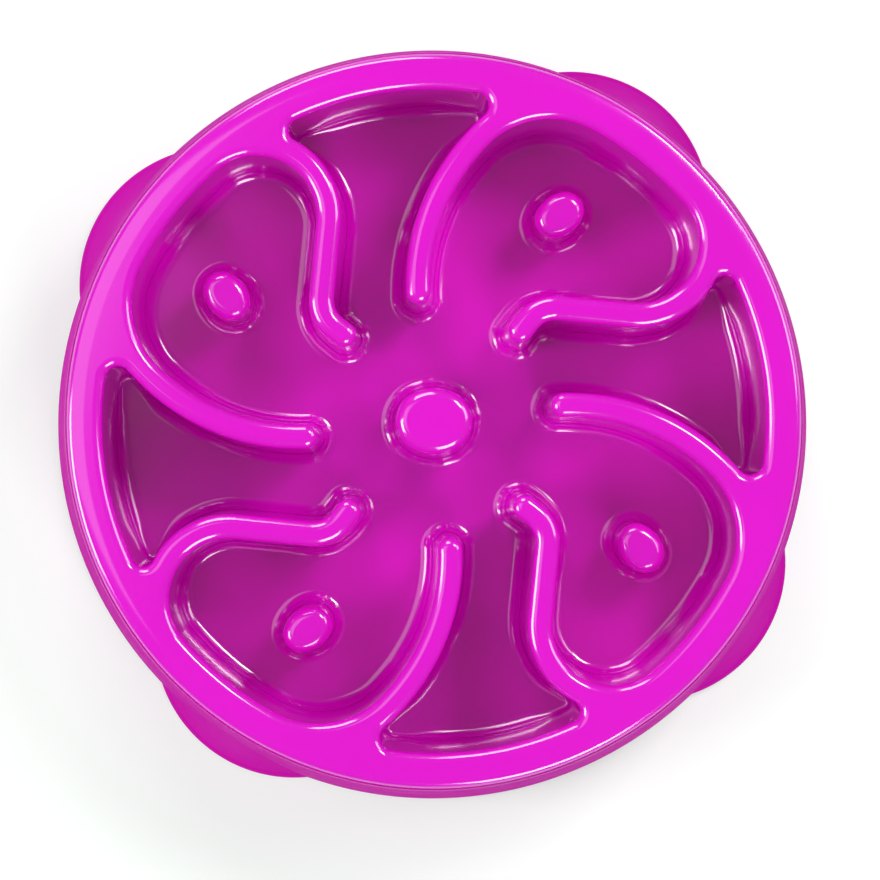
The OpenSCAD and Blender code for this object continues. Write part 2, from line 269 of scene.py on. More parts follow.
middle = np.zeros(2)
sweep_c = SWEEP_REACH * heading(SWEEP_DIR)
hook_c = HOOK_REACH * heading(HOOK_DIR)
root_c = (POCKET_R - ROOT_R + HALF_W) * heading(ROOT_DIR)
link = root_c - hook_c
link_dir = dir_of(link) - math.degrees(math.asin((ROOT_R + HOOK_R) / np.linalg.norm(link)))
hook_from, root_from = link_dir + 90, link_dir - 90
hook_to = hook_from + HOOK_TURN
tip_c = hook_c + HOOK_R * heading(hook_to) + TIP_RUN * heading(hook_to + 90)
lobe_c = meet(POCKET_R - LOBE_R, sweep_c, SWEEP_R - HALF_W - LOBE_R, 1)
sharp_c = meet(POCKET_R - SHARP_R, sweep_c, SWEEP_R + HALF_W + SHARP_R, 1)
blunt_c = meet(POCKET_R - BLUNT_R, root_c, ROOT_R + HALF_W + BLUNT_R, -1)
quarter = [
    (lobe_c, LOBE_R, dir_of(lobe_c), dir_of(lobe_c - sweep_c)),  # wide corner of the lobe
    (sweep_c, SWEEP_R - HALF_W, dir_of(lobe_c - sweep_c), SWEEP_TIP),  # sweeping ridge
    (sweep_c + SWEEP_R * heading(SWEEP_TIP), HALF_W, SWEEP_TIP + 180, SWEEP_TIP),  # its end
    (sweep_c, SWEEP_R + HALF_W, SWEEP_TIP, dir_of(sharp_c - sweep_c)),
    (sharp_c, SHARP_R, dir_of(sweep_c - sharp_c) + 360, dir_of(sharp_c) + 360),  # corner
    (middle, POCKET_R, dir_of(sharp_c), dir_of(blunt_c)),  # round wall of the channel
    (blunt_c, BLUNT_R, dir_of(blunt_c), dir_of(root_c - blunt_c)),
    (root_c, ROOT_R + HALF_W, dir_of(blunt_c - root_c), root_from),  # hooked ridge
    (hook_c, HOOK_R - HALF_W, hook_from, hook_to),
    (tip_c, HALF_W, hook_to + 180, hook_to),  # its end
    (hook_c, HOOK_R + HALF_W, hook_to, hook_from),
    (root_c, ROOT_R - HALF_W, root_from, ROOT_DIR),
    (middle, POCKET_R, ROOT_DIR, dir_of(lobe_c) + 90),  # round wall of the lobe
]
print("a quarter of the outline has", len(quarter), "arcs")

# %% From arcs to points
SPACING, BOSS_SPACING = 2.2 * MM, 1.6 * MM
STEPS_PER_RADIAN = 14  # the least on a tight bend
SAME_POINT, STRAIGHT_ON = 0.02 * MM, 0.9999


def arc_points(c, r, start, end, spacing):
    """Points of an arc, with the direction to the open side of the wall at each."""
    angle = abs(math.radians(end - start))
    steps = max(2, math.ceil(angle * max(r / spacing, STEPS_PER_RADIAN)))
    turn_left = end > start
    for k in range(steps + 1):
        out = heading(start + (end - start) * k / steps)
        yield c + r * out, -out if turn_left else out


def chain(arcs, spacing):
    """One run of points along arcs that follow on, with straights filled in between them."""
    points, normals = [], []
    for arc in arcs:
        for p, n in arc_points(*arc, spacing):
            if points:
                gap = np.linalg.norm(p - points[-1])
                if gap < SAME_POINT:
                    continue
                if np.dot(n, normals[-1]) > STRAIGHT_ON and gap > 1.5 * spacing:
                    steps = math.ceil(gap / spacing)
                    start = points[-1]
                    for k in range(1, steps):
                        points.append(start + (p - start) * k / steps)
                        normals.append(n)
            points.append(p)
            normals.append(n)
    return np.array(points), np.array(normals)


quarter_points, quarter_normals = chain(quarter, SPACING)
print("a quarter of the outline has", len(quarter_points), "points")

# %% [markdown]
# The bosses in the lobes and in the middle are ovals, each of four arcs that meet smoothly.
# They get outlines of the same kind, and a broader rounding on top than the ridges, so that
# they look nearly domed. The fillet at the floor shrinks towards the two tight corners of a
# channel, where a full one has no room.

# %% Bosses and fillets
BOSS_REACH, BOSS_DIR, BOSS_L, BOSS_W, BOSS_TURN = 91.5 * MM, 58.7, 19.5 * MM, 15.5 * MM, 38.7
HUB_L, HUB_W = 28 * MM, 24.5 * MM
OVAL_SIDE = 30  # half of the angle over which each long side of an oval bends
BOSS_TOP, HUB_TOP = FLOOR_Z + 28 * MM, FLOOR_Z + 45 * MM
FULL_FILLET_AT, CORNER_FILLET_SHARE = 12 * MM, 0.8


def turned(v, degrees):
    """Points turned about the middle."""
    c, s = heading(degrees)
    return v @ np.array(((c, s), (-s, c)))


def oval(c, length, width, axis):
    """Outline of an oval boss in four arcs, clockwise so that the open side is on the left."""
    s, t = heading(90 - OVAL_SIDE)
    apart = (length - width) / 2 / (s + t - 1)
    end_r = length / 2 - apart * s
    side_r = end_r + apart
    p, n = chain([
        (np.array((apart * s, 0)), end_r, 90 - OVAL_SIDE, OVAL_SIDE - 90),
        (np.array((0, apart * t)), side_r, OVAL_SIDE - 90, -90 - OVAL_SIDE),
        (np.array((-apart * s, 0)), end_r, 270 - OVAL_SIDE, 90 + OVAL_SIDE),
        (np.array((0, -apart * t)), side_r, 90 + OVAL_SIDE, 90 - OVAL_SIDE),
    ], BOSS_SPACING)
    if np.linalg.norm(p[0] - p[-1]) < SAME_POINT:
        p, n = p[:-1], n[:-1]
    return turned(p, axis) + c, turned(n, axis)


def fillets(points):
    """Fillet radius at each point: full, but less near the tight corners."""
    radii = np.full(len(points), FLOOR_R)
    for r, c in ((SHARP_R, sharp_c), (BLUNT_R, blunt_c)):
        least = CORNER_FILLET_SHARE * (r - (RIM_H - FLOOR_Z) * math.tan(DRAFT))
        for k in range(TURNS):
            off = np.linalg.norm(points - turned(c[None], 90 * k), axis=1) - r
            share = np.clip(off / FULL_FILLET_AT, 0, 1)
            share = share * share * (3 - 2 * share)
            radii = np.minimum(radii, least + (FLOOR_R - least) * share)
    return radii


WALL_LINE, BOSS_LINE, HUB_LINE = 0, 1, 2
wall = np.concatenate([turned(quarter_points[:-1], 90 * k) for k in range(TURNS)])
wall_open = np.concatenate([turned(quarter_normals[:-1], 90 * k) for k in range(TURNS)])
outlines = [(wall, wall_open, RIM_H, WALL_LINE)]
for k in range(TURNS):
    c = BOSS_REACH * heading(BOSS_DIR + 90 * k)
    outlines.append((*oval(c, BOSS_L, BOSS_W, BOSS_TURN + 90 * k), BOSS_TOP, BOSS_LINE))
outlines.append((*oval(middle, HUB_L, HUB_W, 0), HUB_TOP, HUB_LINE))
print("smallest fillet", round(float(fillets(wall).min()) / MM, 2), "mm")

# %% [markdown]
# All outlines go into one mesh of plain edges. Each point carries what the sweep needs: the
# direction to the open side, the height of the top, and the radii of the rounding above and the
# fillet below. Attributes of a mesh are the way to hand such values to Geometry Nodes.

# %% Outlines with their values at each point
points, edges = [], []
values = {"open_side": [], "top": [], "edge": [], "fillet": [], "kind": []}
for p, n, top, kind in outlines:
    first, count = len(points), len(p)
    points += [(x, y, 0) for x, y in p]
    edges += [(first + i, first + (i + 1) % count) for i in range(count)]
    values["open_side"] += [(x, y, 0) for x, y in n]
    values["top"] += [top] * count
    values["edge"] += [EDGE_R if kind == WALL_LINE else BOSS_EDGE_R] * count
    values["fillet"] += list(fillets(p) if kind == WALL_LINE else [FLOOR_R] * count)
    values["kind"] += [kind] * count
outline_mesh = bpy.data.meshes.new("pocket_outline")
outline_mesh.from_pydata(points, edges, [])
for name, data_type, key in (
    ("open_side", "FLOAT_VECTOR", "vector"),
    ("top", "FLOAT", "value"),
    ("edge", "FLOAT", "value"),
    ("fillet", "FLOAT", "value"),
    ("kind", "INT", "value"),
):
    layer = outline_mesh.attributes.new(name, data_type, "POINT")
    layer.data.foreach_set(key, np.array(values[name]).ravel())
print("outlines:", len(outlines), "with", len(points), "points")

# %% [markdown]
# Geometry Nodes sweep the section of the wall along the outlines. The section is a short line
# of points: first the rounding at the top edge, then the fillet at the floor, with the drafted
# wall between them. A sweep of this kind could be done with a curve and a bevel object, but
# a rule for each point lets the height and the fillet change on the way. The direction that the
# surface faces is kept too, so that the gloss doesn't depend on the size of the faces.


# %% Helpers for Geometry Nodes
def new_tree(name, inputs):
    """A Geometry Nodes tree with a geometry input and output, and the named inputs."""
    tree = bpy.data.node_groups.new(name, "GeometryNodeTree")
    tree.interface.new_socket("Geometry", in_out="INPUT", socket_type="NodeSocketGeometry")
    for label, kind in inputs:
        tree.interface.new_socket(label, in_out="INPUT", socket_type="NodeSocket" + kind)
    tree.interface.new_socket("Geometry", in_out="OUTPUT", socket_type="NodeSocketGeometry")
    return tree


def sums(tree):
    """A function that puts a math node and gives its result."""
    def math_node(operation, a, b=0.0):
        return put(tree, "ShaderNodeMath", {0: a, 1: b}, operation=operation).outputs[0]
    return math_node


def named(tree, name, data_type):
    """A value kept on the points."""
    node = put(tree, "GeometryNodeInputNamedAttribute", {"Name": name}, data_type=data_type)
    return node.outputs["Attribute"]


def keep(tree, geometry, name, data_type, value):
    """Keeps a value on the points under a name."""
    node = put(tree, "GeometryNodeStoreNamedAttribute", {"Geometry": geometry, "Name": name},
               data_type=data_type, domain="POINT")
    tree.links.new(value, node.inputs["Value"])
    return node.outputs["Geometry"]


def end_tree(tree, geometry, material):
    """Ends a tree: real geometry instead of instances, its material, and the output."""
    real = put(tree, "GeometryNodeRealizeInstances", {"Geometry": geometry}).outputs[0]
    done = put(tree, "GeometryNodeSetMaterial", {"Geometry": real, "Material": material})
    tree.links.new(done.outputs[0], tree.nodes.new("NodeGroupOutput").inputs[0])


def plain_mesh(holder, name):
    """What an object's modifiers make of it, as a plain mesh."""
    depsgraph = bpy.context.evaluated_depsgraph_get()
    mesh = bpy.data.meshes.new_from_object(holder.evaluated_get(depsgraph))
    mesh.name = name
    return mesh


def run_tree(tree, name, mesh, values):
    """Runs a tree on a mesh with the named inputs and gives the plain mesh that results."""
    holder = bpy.data.objects.new(name, mesh)
    scene.collection.objects.link(holder)
    modifier = holder.modifiers.new(name, "NODES")
    modifier.node_group = tree
    for item in tree.interface.items_tree:
        if item.in_out == "INPUT" and item.name in values:
            modifier[item.identifier] = values[item.name]
    result = plain_mesh(holder, name)
    bpy.data.objects.remove(holder)
    return result


# %% The section of the wall and the path along the outlines
QUARTER_TURN = math.pi / 2
tray_tree = new_tree("pocket_walls", [
    ("Floor height", "Float"), ("Rim height", "Float"), ("Boss height", "Float"),
    ("Hub height", "Float"), ("Land radius", "Float"), ("Draft", "Float"),
    ("Edge steps", "Int"), ("Fillet steps", "Int"), ("Rim steps", "Int"),
    ("Merge distance", "Float"), ("Material", "Material"),
])
m = sums(tray_tree)
given = tray_tree.nodes.new("NodeGroupInput").outputs
edge_steps, fillet_steps = given["Edge steps"], given["Fillet steps"]

# points 0 to edge steps are the rounding, and the rest the fillet
index = put(tray_tree, "GeometryNodeInputIndex").outputs[0]
section_line = put(tray_tree, "GeometryNodeMeshLine", {
    "Count": m("ADD", m("ADD", edge_steps, fillet_steps), 2.0),
    "Offset": (0, 1 * MM, 0),
}).outputs[0]
in_fillet = m("GREATER_THAN", index, edge_steps)
swing = m("SUBTRACT", QUARTER_TURN, given["Draft"])
edge_angle = m("SUBTRACT", QUARTER_TURN, m("MULTIPLY", swing, m("DIVIDE", index, edge_steps)))
fillet_index = m("SUBTRACT", m("SUBTRACT", index, edge_steps), 1.0)
fillet_angle = m("ADD", given["Draft"],
                 m("MULTIPLY", swing, m("DIVIDE", fillet_index, fillet_steps)))
angle = m("ADD", m("MULTIPLY", m("SUBTRACT", 1.0, in_fillet), edge_angle),
          m("MULTIPLY", in_fillet, fillet_angle))
section_line = keep(tray_tree, section_line, "face_angle", "FLOAT", angle)
section_line = keep(tray_tree, section_line, "in_fillet", "FLOAT", in_fillet)
section = put(tray_tree, "GeometryNodeMeshToCurve", {"Mesh": section_line}).outputs[0]

# the outlines keep their own place, because the sweep moves the points
place = put(tray_tree, "GeometryNodeInputPosition").outputs[0]
path_mesh = keep(tray_tree, given["Geometry"], "place", "FLOAT_VECTOR", place)
path_curve = put(tray_tree, "GeometryNodeMeshToCurve", {"Mesh": path_mesh}).outputs[0]
swept = put(tray_tree, "GeometryNodeCurveToMesh",
            {"Curve": path_curve, "Profile Curve": section, "Fill Caps": False}).outputs[0]
print("inputs of the tree:", [name for name in given.keys() if name])


# %% The wall swept along the outlines
def wall_reach_and_height(face_angle, fillet_part):
    """How far a point of the section stands from the outline, and how high."""
    lean = m("TANGENT", given["Draft"])
    slope = m("DIVIDE", 1.0, m("COSINE", given["Draft"]))
    top, fillet = named(tray_tree, "top", "FLOAT"), named(tray_tree, "fillet", "FLOAT")
    radius = named(tray_tree, "edge", "FLOAT")
    across, up = m("COSINE", face_angle), m("SUBTRACT", 1.0, m("SINE", face_angle))
    edge_reach = m("MULTIPLY", radius, m("ADD", m("SUBTRACT", lean, slope), across))
    edge_height = m("SUBTRACT", top, m("MULTIPLY", radius, up))
    deep = m("MULTIPLY", m("SUBTRACT", top, given["Floor height"]), lean)
    fillet_in = m("SUBTRACT", m("SUBTRACT", slope, lean), across)
    fillet_reach = m("ADD", deep, m("MULTIPLY", fillet, fillet_in))
    fillet_height = m("ADD", given["Floor height"], m("MULTIPLY", fillet, up))
    other = m("SUBTRACT", 1.0, fillet_part)
    reach = m("ADD", m("MULTIPLY", other, edge_reach), m("MULTIPLY", fillet_part, fillet_reach))
    height = m("ADD", m("MULTIPLY", other, edge_height), m("MULTIPLY", fillet_part, fillet_height))
    return reach, height


def along(vector, length):
    """A vector times a length."""
    return put(tray_tree, "ShaderNodeVectorMath", {0: vector, "Scale": length},
               operation="SCALE").outputs[0]


def together(a, b):
    """The sum of two vectors."""
    return put(tray_tree, "ShaderNodeVectorMath", {0: a, 1: b}, operation="ADD").outputs[0]


def upward(length):
    """A vector straight up."""
    return put(tray_tree, "ShaderNodeCombineXYZ", {"Z": length}).outputs[0]


def moved(geometry, face_angle, fillet_part):
    """The points of the geometry put where the section says."""
    reach, height = wall_reach_and_height(face_angle, fillet_part)
    side = along(named(tray_tree, "open_side", "FLOAT_VECTOR"), reach)
    spot = together(together(named(tray_tree, "place", "FLOAT_VECTOR"), side), upward(height))
    return put(tray_tree, "GeometryNodeSetPosition",
               {"Geometry": geometry, "Position": spot}).outputs[0]


angle_kept = named(tray_tree, "face_angle", "FLOAT")
fillet_kept = named(tray_tree, "in_fillet", "FLOAT")
walls = moved(swept, angle_kept, fillet_kept)
side = along(named(tray_tree, "open_side", "FLOAT_VECTOR"), m("COSINE", angle_kept))
facing = together(side, upward(m("SINE", angle_kept)))
walls = keep(tray_tree, walls, "facing", "FLOAT_VECTOR", facing)
wear = m("MULTIPLY", m("SUBTRACT", 1.0, fillet_kept), m("SINE", m("MULTIPLY", angle_kept, 2.0)))
walls = keep(tray_tree, walls, "edge_wear", "FLOAT", wear)
print("nodes so far:", len(tray_tree.nodes))

# %% [markdown]
# The flats are the land round the pockets, the tops of the bosses and the pocket floor. Each is
# one closed loop, or a few, filled with a sheet. Their loops are the outlines moved to the
# first and the last place of the section, so that the points fall together with those of the
# walls and merge.

# %% The flats
kind = named(tray_tree, "kind", "INT")
top_loops, floor_loops = moved(path_mesh, QUARTER_TURN, 0.0), moved(path_mesh, QUARTER_TURN, 1.0)
land_circle = put(tray_tree, "GeometryNodeCurvePrimitiveCircle",
                  {"Resolution": given["Rim steps"], "Radius": given["Land radius"]}).outputs[0]


def joined(parts):
    """Several geometries as one."""
    join = put(tray_tree, "GeometryNodeJoinGeometry")
    for part in parts:
        tray_tree.links.new(part, join.inputs[0])
    return join.outputs[0]


def flat(loops, height, extra=None):
    """Fills closed loops into a flat sheet at a height."""
    curve = put(tray_tree, "GeometryNodeMeshToCurve", {"Mesh": loops}).outputs[0]
    if extra is not None:
        curve = joined([curve, extra])
    sheet = put(tray_tree, "GeometryNodeFillCurve", {"Curve": curve}).outputs[0]
    sheet = put(tray_tree, "GeometryNodeSetPosition",
                {"Geometry": sheet, "Offset": upward(height)}).outputs[0]
    return keep(tray_tree, sheet, "facing", "FLOAT_VECTOR", upward(1.0))


def of_kind(loops, number):
    """Only the loops of one kind."""
    same = put(tray_tree, "FunctionNodeCompare", {2: kind, 3: number},
               data_type="INT", operation="EQUAL").outputs[0]
    return put(tray_tree, "GeometryNodeSeparateGeometry",
               {"Geometry": loops, "Selection": same}, domain="POINT").outputs[0]


whole = joined([
    walls,
    flat(of_kind(top_loops, WALL_LINE), given["Rim height"], land_circle),
    flat(of_kind(top_loops, BOSS_LINE), given["Boss height"]),
    flat(of_kind(top_loops, HUB_LINE), given["Hub height"]),
    flat(floor_loops, given["Floor height"]),
])
whole = put(tray_tree, "GeometryNodeMergeByDistance",
            {"Geometry": whole, "Distance": given["Merge distance"]}).outputs[0]
end_tree(tray_tree, whole, given["Material"])
print("the tree of the tray has", len(tray_tree.nodes), "nodes")

# %% [markdown]
# A material for moulded plastic. Nothing is printed or painted on it: the colour is dyed
# through, so what makes it look real is the surface. It has a faint orange-peel ripple from the
# mould, a roughness that wanders a little, hairline scratches on the rounded tops where muzzles
# and hands rub, and a colour that varies by a few hundredths. The patterns read Object
# coordinates, so they stay where they are on the piece.

# %% Helpers for surfaces
def linear(rgb):
    """A colour as picked from a screen, in the linear values that Blender's sockets take."""
    return tuple(c / 12.92 if c <= 0.04045 else ((c + 0.055) / 1.055) ** 2.4 for c in rgb)


def shade(rgb, gain, lift=0.0):
    """A paler or deeper shade of a colour."""
    return (*(min(c * gain + lift, 1) for c in rgb), 1)


def noise(tree, scale, detail):
    """Soft noise on the piece's own place."""
    at = put(tree, "ShaderNodeTexCoord").outputs["Object"]
    return put(tree, "ShaderNodeTexNoise",
               {"Vector": at, "Scale": scale, "Detail": detail}).outputs["Fac"]


def bump(tree, height, depth, strength=1.0):
    """A bump in the surface."""
    return put(tree, "ShaderNodeBump",
               {"Height": height, "Distance": depth, "Strength": strength})


# %% Parts of the plastic
DRIFT_SCALE, DRIFT_SHADES = 14.0, (0.93, 1.05)
SCRATCH_SCALES, SCRATCH_TURN, SCRATCH_RANGE = (900.0, 60.0, 300.0), 0.6, (0.62, 0.75)
RUBBED_LEAST, RUBBED_PALE, RUBBED_DULL = 0.35, 0.25, 0.12
PALE_GAIN, PALE_LIFT = 1.2, 0.08
PATCH_SCALE, PATCH_RANGE, PATCH_SHARES = 35.0, (0.3, 0.7), (0.85, 1.25)
POLISH_OVER, POLISH_SHARE = 1.5 * MM, 0.3
GRAIN_SCALE = 3500.0
PLASTIC_IOR, COAT_ROUGHNESS = 1.5, 0.08


def rubbed_tops(tree, wear):
    """How far the rounded tops are rubbed: evenly, and more in hairline scratches."""
    m = sums(tree)
    worn = put(tree, "ShaderNodeAttribute", attribute_name="edge_wear").outputs["Fac"]
    streaks = put(tree, "ShaderNodeMapping", {
        "Vector": put(tree, "ShaderNodeTexCoord").outputs["Object"],
        "Rotation": (0, 0, SCRATCH_TURN), "Scale": SCRATCH_SCALES}).outputs[0]
    scratch = put(tree, "ShaderNodeTexNoise", {"Vector": streaks, "Scale": 1.0, "Detail": 1.0})
    scratch = ramp(tree, scratch.outputs["Fac"], *SCRATCH_RANGE)
    return m("MULTIPLY", m("MULTIPLY", worn, wear), m("ADD", RUBBED_LEAST, scratch))


def dyed(tree, colour, rubbed):
    """The colour, which drifts a little and is paler where it is rubbed."""
    base = linear(colour)
    drift = noise(tree, DRIFT_SCALE, 3.0)
    body = mixed(tree, drift, *(shade(base, gain) for gain in DRIFT_SHADES))
    pale_share = sums(tree)("MULTIPLY", rubbed, RUBBED_PALE)
    return mixed(tree, pale_share, body, shade(base, PALE_GAIN, PALE_LIFT))


def gloss_of(tree, roughness, rubbed, polish_from):
    """The roughness, in patches, duller where it is rubbed and polished above a height."""
    m = sums(tree)
    low, high = (roughness * share for share in PATCH_SHARES)
    spread = ramp(tree, noise(tree, PATCH_SCALE, 4.0), *PATCH_RANGE, low, high)
    if polish_from is not None:
        at = put(tree, "ShaderNodeTexCoord").outputs["Object"]
        height = put(tree, "ShaderNodeSeparateXYZ", {"Vector": at}).outputs[2]
        dull = ramp(tree, height, polish_from, polish_from + POLISH_OVER, 1.0, POLISH_SHARE)
        spread = m("MULTIPLY", spread, dull)
    return m("ADD", spread, m("MULTIPLY", rubbed, RUBBED_DULL))


def plastic(name, colour, roughness, ripple_mm, ripple_depth, grain_depth, wear,
            specular, coat=0.0, polish_from=None):
    """Moulded plastic, dyed through, with ripple, grain, drift and wear."""
    material, tree, shader = new_material(name)
    shader.inputs["IOR"].default_value = PLASTIC_IOR
    shader.inputs["Specular IOR Level"].default_value = specular
    shader.inputs["Coat Weight"].default_value = coat
    shader.inputs["Coat Roughness"].default_value = COAT_ROUGHNESS
    rubbed = rubbed_tops(tree, wear)
    tree.links.new(dyed(tree, colour, rubbed), shader.inputs["Base Color"])
    tree.links.new(gloss_of(tree, roughness, rubbed, polish_from), shader.inputs["Roughness"])
    ripple = bump(tree, noise(tree, 1 / (ripple_mm * MM), 1.0), ripple_depth * MM)
    grain = bump(tree, noise(tree, GRAIN_SCALE, 2.0), grain_depth * MM)
    tree.links.new(ripple.outputs[0], grain.inputs["Normal"])
    tree.links.new(grain.outputs[0], shader.inputs["Normal"])
    return material


# %% [markdown]
# The tray is glossy like lacquer, so it has a coat over a strong reflection. The base is satin,
# with a weak reflection, but its top edge at the seam is as smooth as the tray and shows as a
# bright line in the photograph. So its roughness falls above a height just below the seam.

# %% Gloss and satin
MAGENTA, DEEP_MAGENTA = (0.93, 0.03, 0.85), (0.81, 0.03, 0.69)
POLISH_BELOW_SEAM = 4.5 * MM
gloss_plastic = plastic(
    "gloss_plastic", MAGENTA, roughness=0.12, ripple_mm=9.0, ripple_depth=0.005,
    grain_depth=0.0003, wear=0.4, specular=1.0, coat=1.0)
satin_plastic = plastic(
    "satin_plastic", DEEP_MAGENTA, roughness=0.65, ripple_mm=3.0, ripple_depth=0.006,
    grain_depth=0.006, wear=0.5, specular=0.12, polish_from=SEAM_Z - POLISH_BELOW_SEAM)
print("plastics:", gloss_plastic.name, satin_plastic.name)

# %% [markdown]
# The rest of the tray is round: the outer edge of the rim, the lip that turns down to the seam,
# the tongue that drops into the base and the back of the tray. A section of points turned about
# the middle makes it, with one ring for each point of the section. Blender's Spin could do it
# too, but a short function gives each ring a known number, which the shading needs below.

# %% Turning a section about an axis
RINGS = 288


def turn_section(section, steps=RINGS, centre=(0.0, 0.0)):
    """Points and faces of a section of (radius, height) turned about an upright axis."""
    points, faces, rings = [], [], []
    for r, z in section:
        if r == 0:
            rings.append([len(points)])
            points.append((centre[0], centre[1], z))
            continue
        rings.append(list(range(len(points), len(points) + steps)))
        for k in range(steps):
            a = 2 * math.pi * k / steps
            points.append((centre[0] + r * math.cos(a), centre[1] + r * math.sin(a), z))
    for upper, lower in zip(rings, rings[1:]):
        for k in range(steps):
            j = (k + 1) % steps
            if len(upper) == 1:
                faces.append((upper[0], lower[k], lower[j]))
            elif len(lower) == 1:
                faces.append((upper[k], lower[0], upper[j]))
            else:
                faces.append((upper[k], lower[k], lower[j], upper[j]))
    return points, faces


def bend(c, r, start, end, steps):
    """Points of a rounding in a section, between two directions in degrees."""
    return [tuple(np.array(c) + r * heading(start + (end - start) * k / steps))
            for k in range(steps + 1)]


# %% [markdown]
# The highlight along the rim is a few millimetres wide in the photograph, with a soft inner
# side. A plain round edge mirrors a lamp as a hair-thin line, so the outer 7 mm of the land fall
# off slightly like a crown, and only then turn down in a small round edge.

# %% Section of the rim, the lip and the back
RIM_R = tenth(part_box("feeding_tray")[1].x)
RIM_EDGE_R, CROWN_R, CROWN_DIR = 2.8 * MM, 21.6 * MM, 78
CROWN_STEPS, RIM_EDGE_STEPS = 6, 9
# The lip's first ring lies 0.2 mm above the end of the rounding, so a strip of that height
# is folded back on itself there.
LIP_TOP, LIP_STEP = 3 * MM, 1 * MM
TONGUE_R, TONGUE_T, TONGUE_H = 134.3 * MM, 2.2 * MM, 5 * MM
WALL = 2.4 * MM

land_r = RIM_R - RIM_EDGE_R - (CROWN_R - RIM_EDGE_R) * math.cos(math.radians(CROWN_DIR))
crown_c = np.array((land_r, RIM_H - CROWN_R))
edge_c = crown_c + (CROWN_R - RIM_EDGE_R) * heading(CROWN_DIR)
crown = bend(crown_c, CROWN_R, 90, CROWN_DIR, CROWN_STEPS)
rim_edge = bend(edge_c, RIM_EDGE_R, CROWN_DIR, 0, RIM_EDGE_STEPS)[1:]
lip = [(RIM_R, RIM_H - LIP_TOP), (RIM_R, SEAM_Z + LIP_STEP), (RIM_R, SEAM_Z)]
shown = crown + rim_edge + lip
shown_dirs = [*np.linspace(90, CROWN_DIR, CROWN_STEPS + 1),
              *np.linspace(CROWN_DIR, 0, RIM_EDGE_STEPS + 1)[1:], *(0 for p in lip)]

lean = math.tan(DRAFT)
under_z, roof_z = FLOOR_Z - WALL, RIM_H - WALL
bevel = (FLOOR_R + WALL) * (1 - math.tan(math.radians(22.5)))
back_r = POCKET_R + WALL / math.cos(DRAFT) - WALL * lean
bevel_r = back_r - (roof_z - under_z - bevel) * lean
unseen = [
    (TONGUE_R, SEAM_Z),
    (TONGUE_R, SEAM_Z - TONGUE_H),
    (TONGUE_R - TONGUE_T, SEAM_Z - TONGUE_H),
    (TONGUE_R - TONGUE_T, roof_z),
    (back_r, roof_z),
    (bevel_r, under_z + bevel),
    (bevel_r - bevel, under_z),
    (0, under_z),
]
body_points, body_faces = turn_section(shown + unseen)
print("the land ends at radius", round(land_r / MM, 1), "mm")

# %% The swept top
MERGE = 0.002 * MM
EDGE_STEPS, FILLET_STEPS = 10, 10
swept_top = run_tree(tray_tree, "tray_top", outline_mesh, {
    "Floor height": FLOOR_Z, "Rim height": RIM_H, "Boss height": BOSS_TOP,
    "Hub height": HUB_TOP, "Land radius": land_r, "Draft": DRAFT,
    "Edge steps": EDGE_STEPS, "Fillet steps": FILLET_STEPS, "Rim steps": RINGS,
    "Merge distance": MERGE, "Material": gloss_plastic,
})
print("swept top:", len(swept_top.vertices), "points,", len(swept_top.polygons), "faces")


# %% Top and back in one closed mesh
def open_edges(mesh):
    """Number of edges that don't lie between exactly two faces."""
    counts = np.zeros(len(mesh.edges), int)
    used = np.zeros(len(mesh.loops), int)
    mesh.loops.foreach_get("edge_index", used)
    np.add.at(counts, used, 1)
    return int((counts != 2).sum())


shape = bmesh.new()
shape.from_mesh(swept_top)
facing_layer = shape.verts.layers.float_vector["facing"]
wear_layer = shape.verts.layers.float["edge_wear"]
made = []
for k, p in enumerate(body_points):
    v = shape.verts.new(p)
    ring = k // RINGS
    if ring < len(shown):
        a = math.radians(shown_dirs[ring])
        out = Vector((p[0], p[1], 0)).normalized()
        v[facing_layer] = out * math.cos(a) + Vector((0, 0, math.sin(a)))
        v[wear_layer] = math.sin(2 * a)
    made.append(v)
for face in body_faces:
    shape.faces.new([made[k] for k in face])
bmesh.ops.remove_doubles(shape, verts=shape.verts, dist=MERGE)
bmesh.ops.recalc_face_normals(shape, faces=shape.faces)
tray_mesh = bpy.data.meshes.new("tray")
shape.to_mesh(tray_mesh)
shape.free()
print("tray:", len(tray_mesh.polygons), "faces, open edges:", open_edges(tray_mesh))

# %% [markdown]
# On a glossy surface the shading shows every uneven face. The exact direction is known at each
# point of the walls and the rim, from the section, so it is set as a custom normal. Where
# the direction and the face disagree there is a crease, and there the face stays flat.

# %% Shading of the tray
HAS_DIRECTION, ACROSS_CREASE, TINY = 0.5, 0.6, 1e-9


def numbers(items, key, count, width=1, kind=float):
    """One value of many items of a mesh, as an array."""
    out = np.zeros(count * width, kind)
    items.foreach_get(key, out)
    return out.reshape(-1, width) if width > 1 else out


def set_facing(mesh):
    """Smooth shading from the direction kept on the points, and flat faces where none is kept."""
    kept = numbers(mesh.attributes["facing"].data, "vector", len(mesh.vertices), 3)
    flat_normals = numbers(mesh.polygons, "normal", len(mesh.polygons), 3)
    totals = numbers(mesh.polygons, "loop_total", len(mesh.polygons), kind=int)
    flat_normals = np.repeat(flat_normals, totals, axis=0)
    corners = kept[numbers(mesh.loops, "vertex_index", len(mesh.loops), kind=int)]
    length = np.linalg.norm(corners, axis=1, keepdims=True)
    corners = np.where(length > HAS_DIRECTION, corners / np.maximum(length, TINY), flat_normals)
    across = (corners * flat_normals).sum(1, keepdims=True) < ACROSS_CREASE
    corners = np.where(across, flat_normals, corners)
    mesh.polygons.foreach_set("use_smooth", np.ones(len(mesh.polygons), bool))
    mesh.normals_split_custom_set(corners.tolist())
    return int(across.sum())


